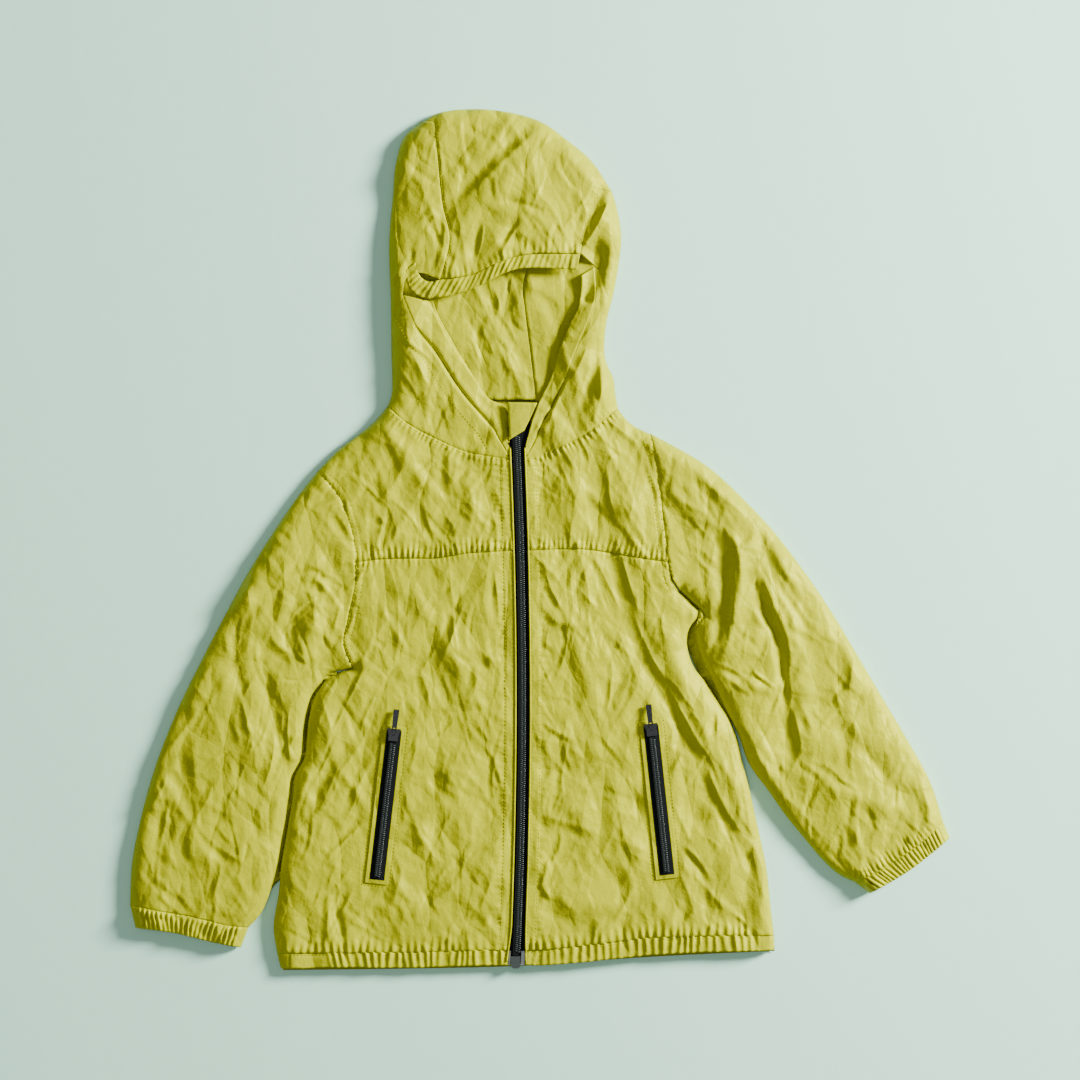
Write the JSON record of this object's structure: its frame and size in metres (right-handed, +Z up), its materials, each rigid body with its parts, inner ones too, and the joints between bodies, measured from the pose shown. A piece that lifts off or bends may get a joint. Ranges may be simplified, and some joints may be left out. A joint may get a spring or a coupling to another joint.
{
  "type": "windbreaker_jacket",
  "caption": "child's hooded windbreaker in thin yellow-green cloth, laid flat and zipped up, with gathered cuffs, hem and hood brim and zipped welt pockets",
  "frame": {"origin": "on the surface that the jacket lies on, under the line of the front zip, 68.5 mm below the neck seam's lowest point", "axes": "+Y runs up the jacket from hem to hood, +X to the side of its left sleeve as worn (the viewer's right), +Z up out of the cloth that faces the viewer"},
  "size_m": [0.6974, 0.7334, 0.0207],
  "materials": {
    "shell": "fine plain-woven nylon, crinkled, softly shiny",
    "shell_inside": "the same nylon seen from its duller side",
    "zip_tape": "black ribbed woven tape",
    "zip_plastic": "black moulded coil and bottom box",
    "zip_metal": "black enamel on cast zinc",
    "patch_film": "pale grey stiffening film"
  },
  "bodies": {
    "jacket": {"front_left": "shell", "yoke_left": "shell", "sleeve_left": "shell", "sleeve_left_under": "shell", "cuff_left": "shell", "hem_front_left": "shell", "hood_side_left": "shell", "pocket_left_welt": "shell", "front_right": "shell", "yoke_right": "shell", "sleeve_right": "shell", "sleeve_right_under": "shell", "cuff_right": "shell", "hem_front_right": "shell", "hood_side_right": "shell", "pocket_right_welt": "shell", "hood_centre": "shell", "hood_brim": "shell", "zip_guard": "shell", "hood_edge_left": "shell_inside", "hood_edge_right": "shell_inside", "back": "shell_inside", "hem_back": "shell_inside", "zip_tape_left": "zip_tape", "zip_tape_right": "zip_tape", "pocket_left_tape": "zip_tape", "pocket_right_tape": "zip_tape", "pocket_left_chain": "zip_plastic", "pocket_right_chain": "zip_plastic", "zip_chain": "zip_plastic", "zip_bottom_box": "zip_plastic", "pocket_left_slider": "zip_metal", "pocket_right_slider": "zip_metal", "zip_slider": "zip_metal", "zip_film_left": "patch_film", "zip_film_right": "patch_film"},
    "left_pull": {"pocket_left_pull": "zip_metal"},
    "right_pull": {"pocket_right_pull": "zip_metal"}
  },
  "joints": [
    {"name": "left_pull_hinge", "type": "hinge", "parent": "jacket", "child": "left_pull", "pos_m": [-0.1062, -0.16319, 0.01596], "axis": [0.9932, -0.1168, 0], "range_deg": [0, 185]},
    {"name": "right_pull_hinge", "type": "hinge", "parent": "jacket", "child": "right_pull", "pos_m": [0.11199, -0.15896, 0.01589], "axis": [0.9941, 0.1082, 0], "range_deg": [0, 185]}
  ]
}
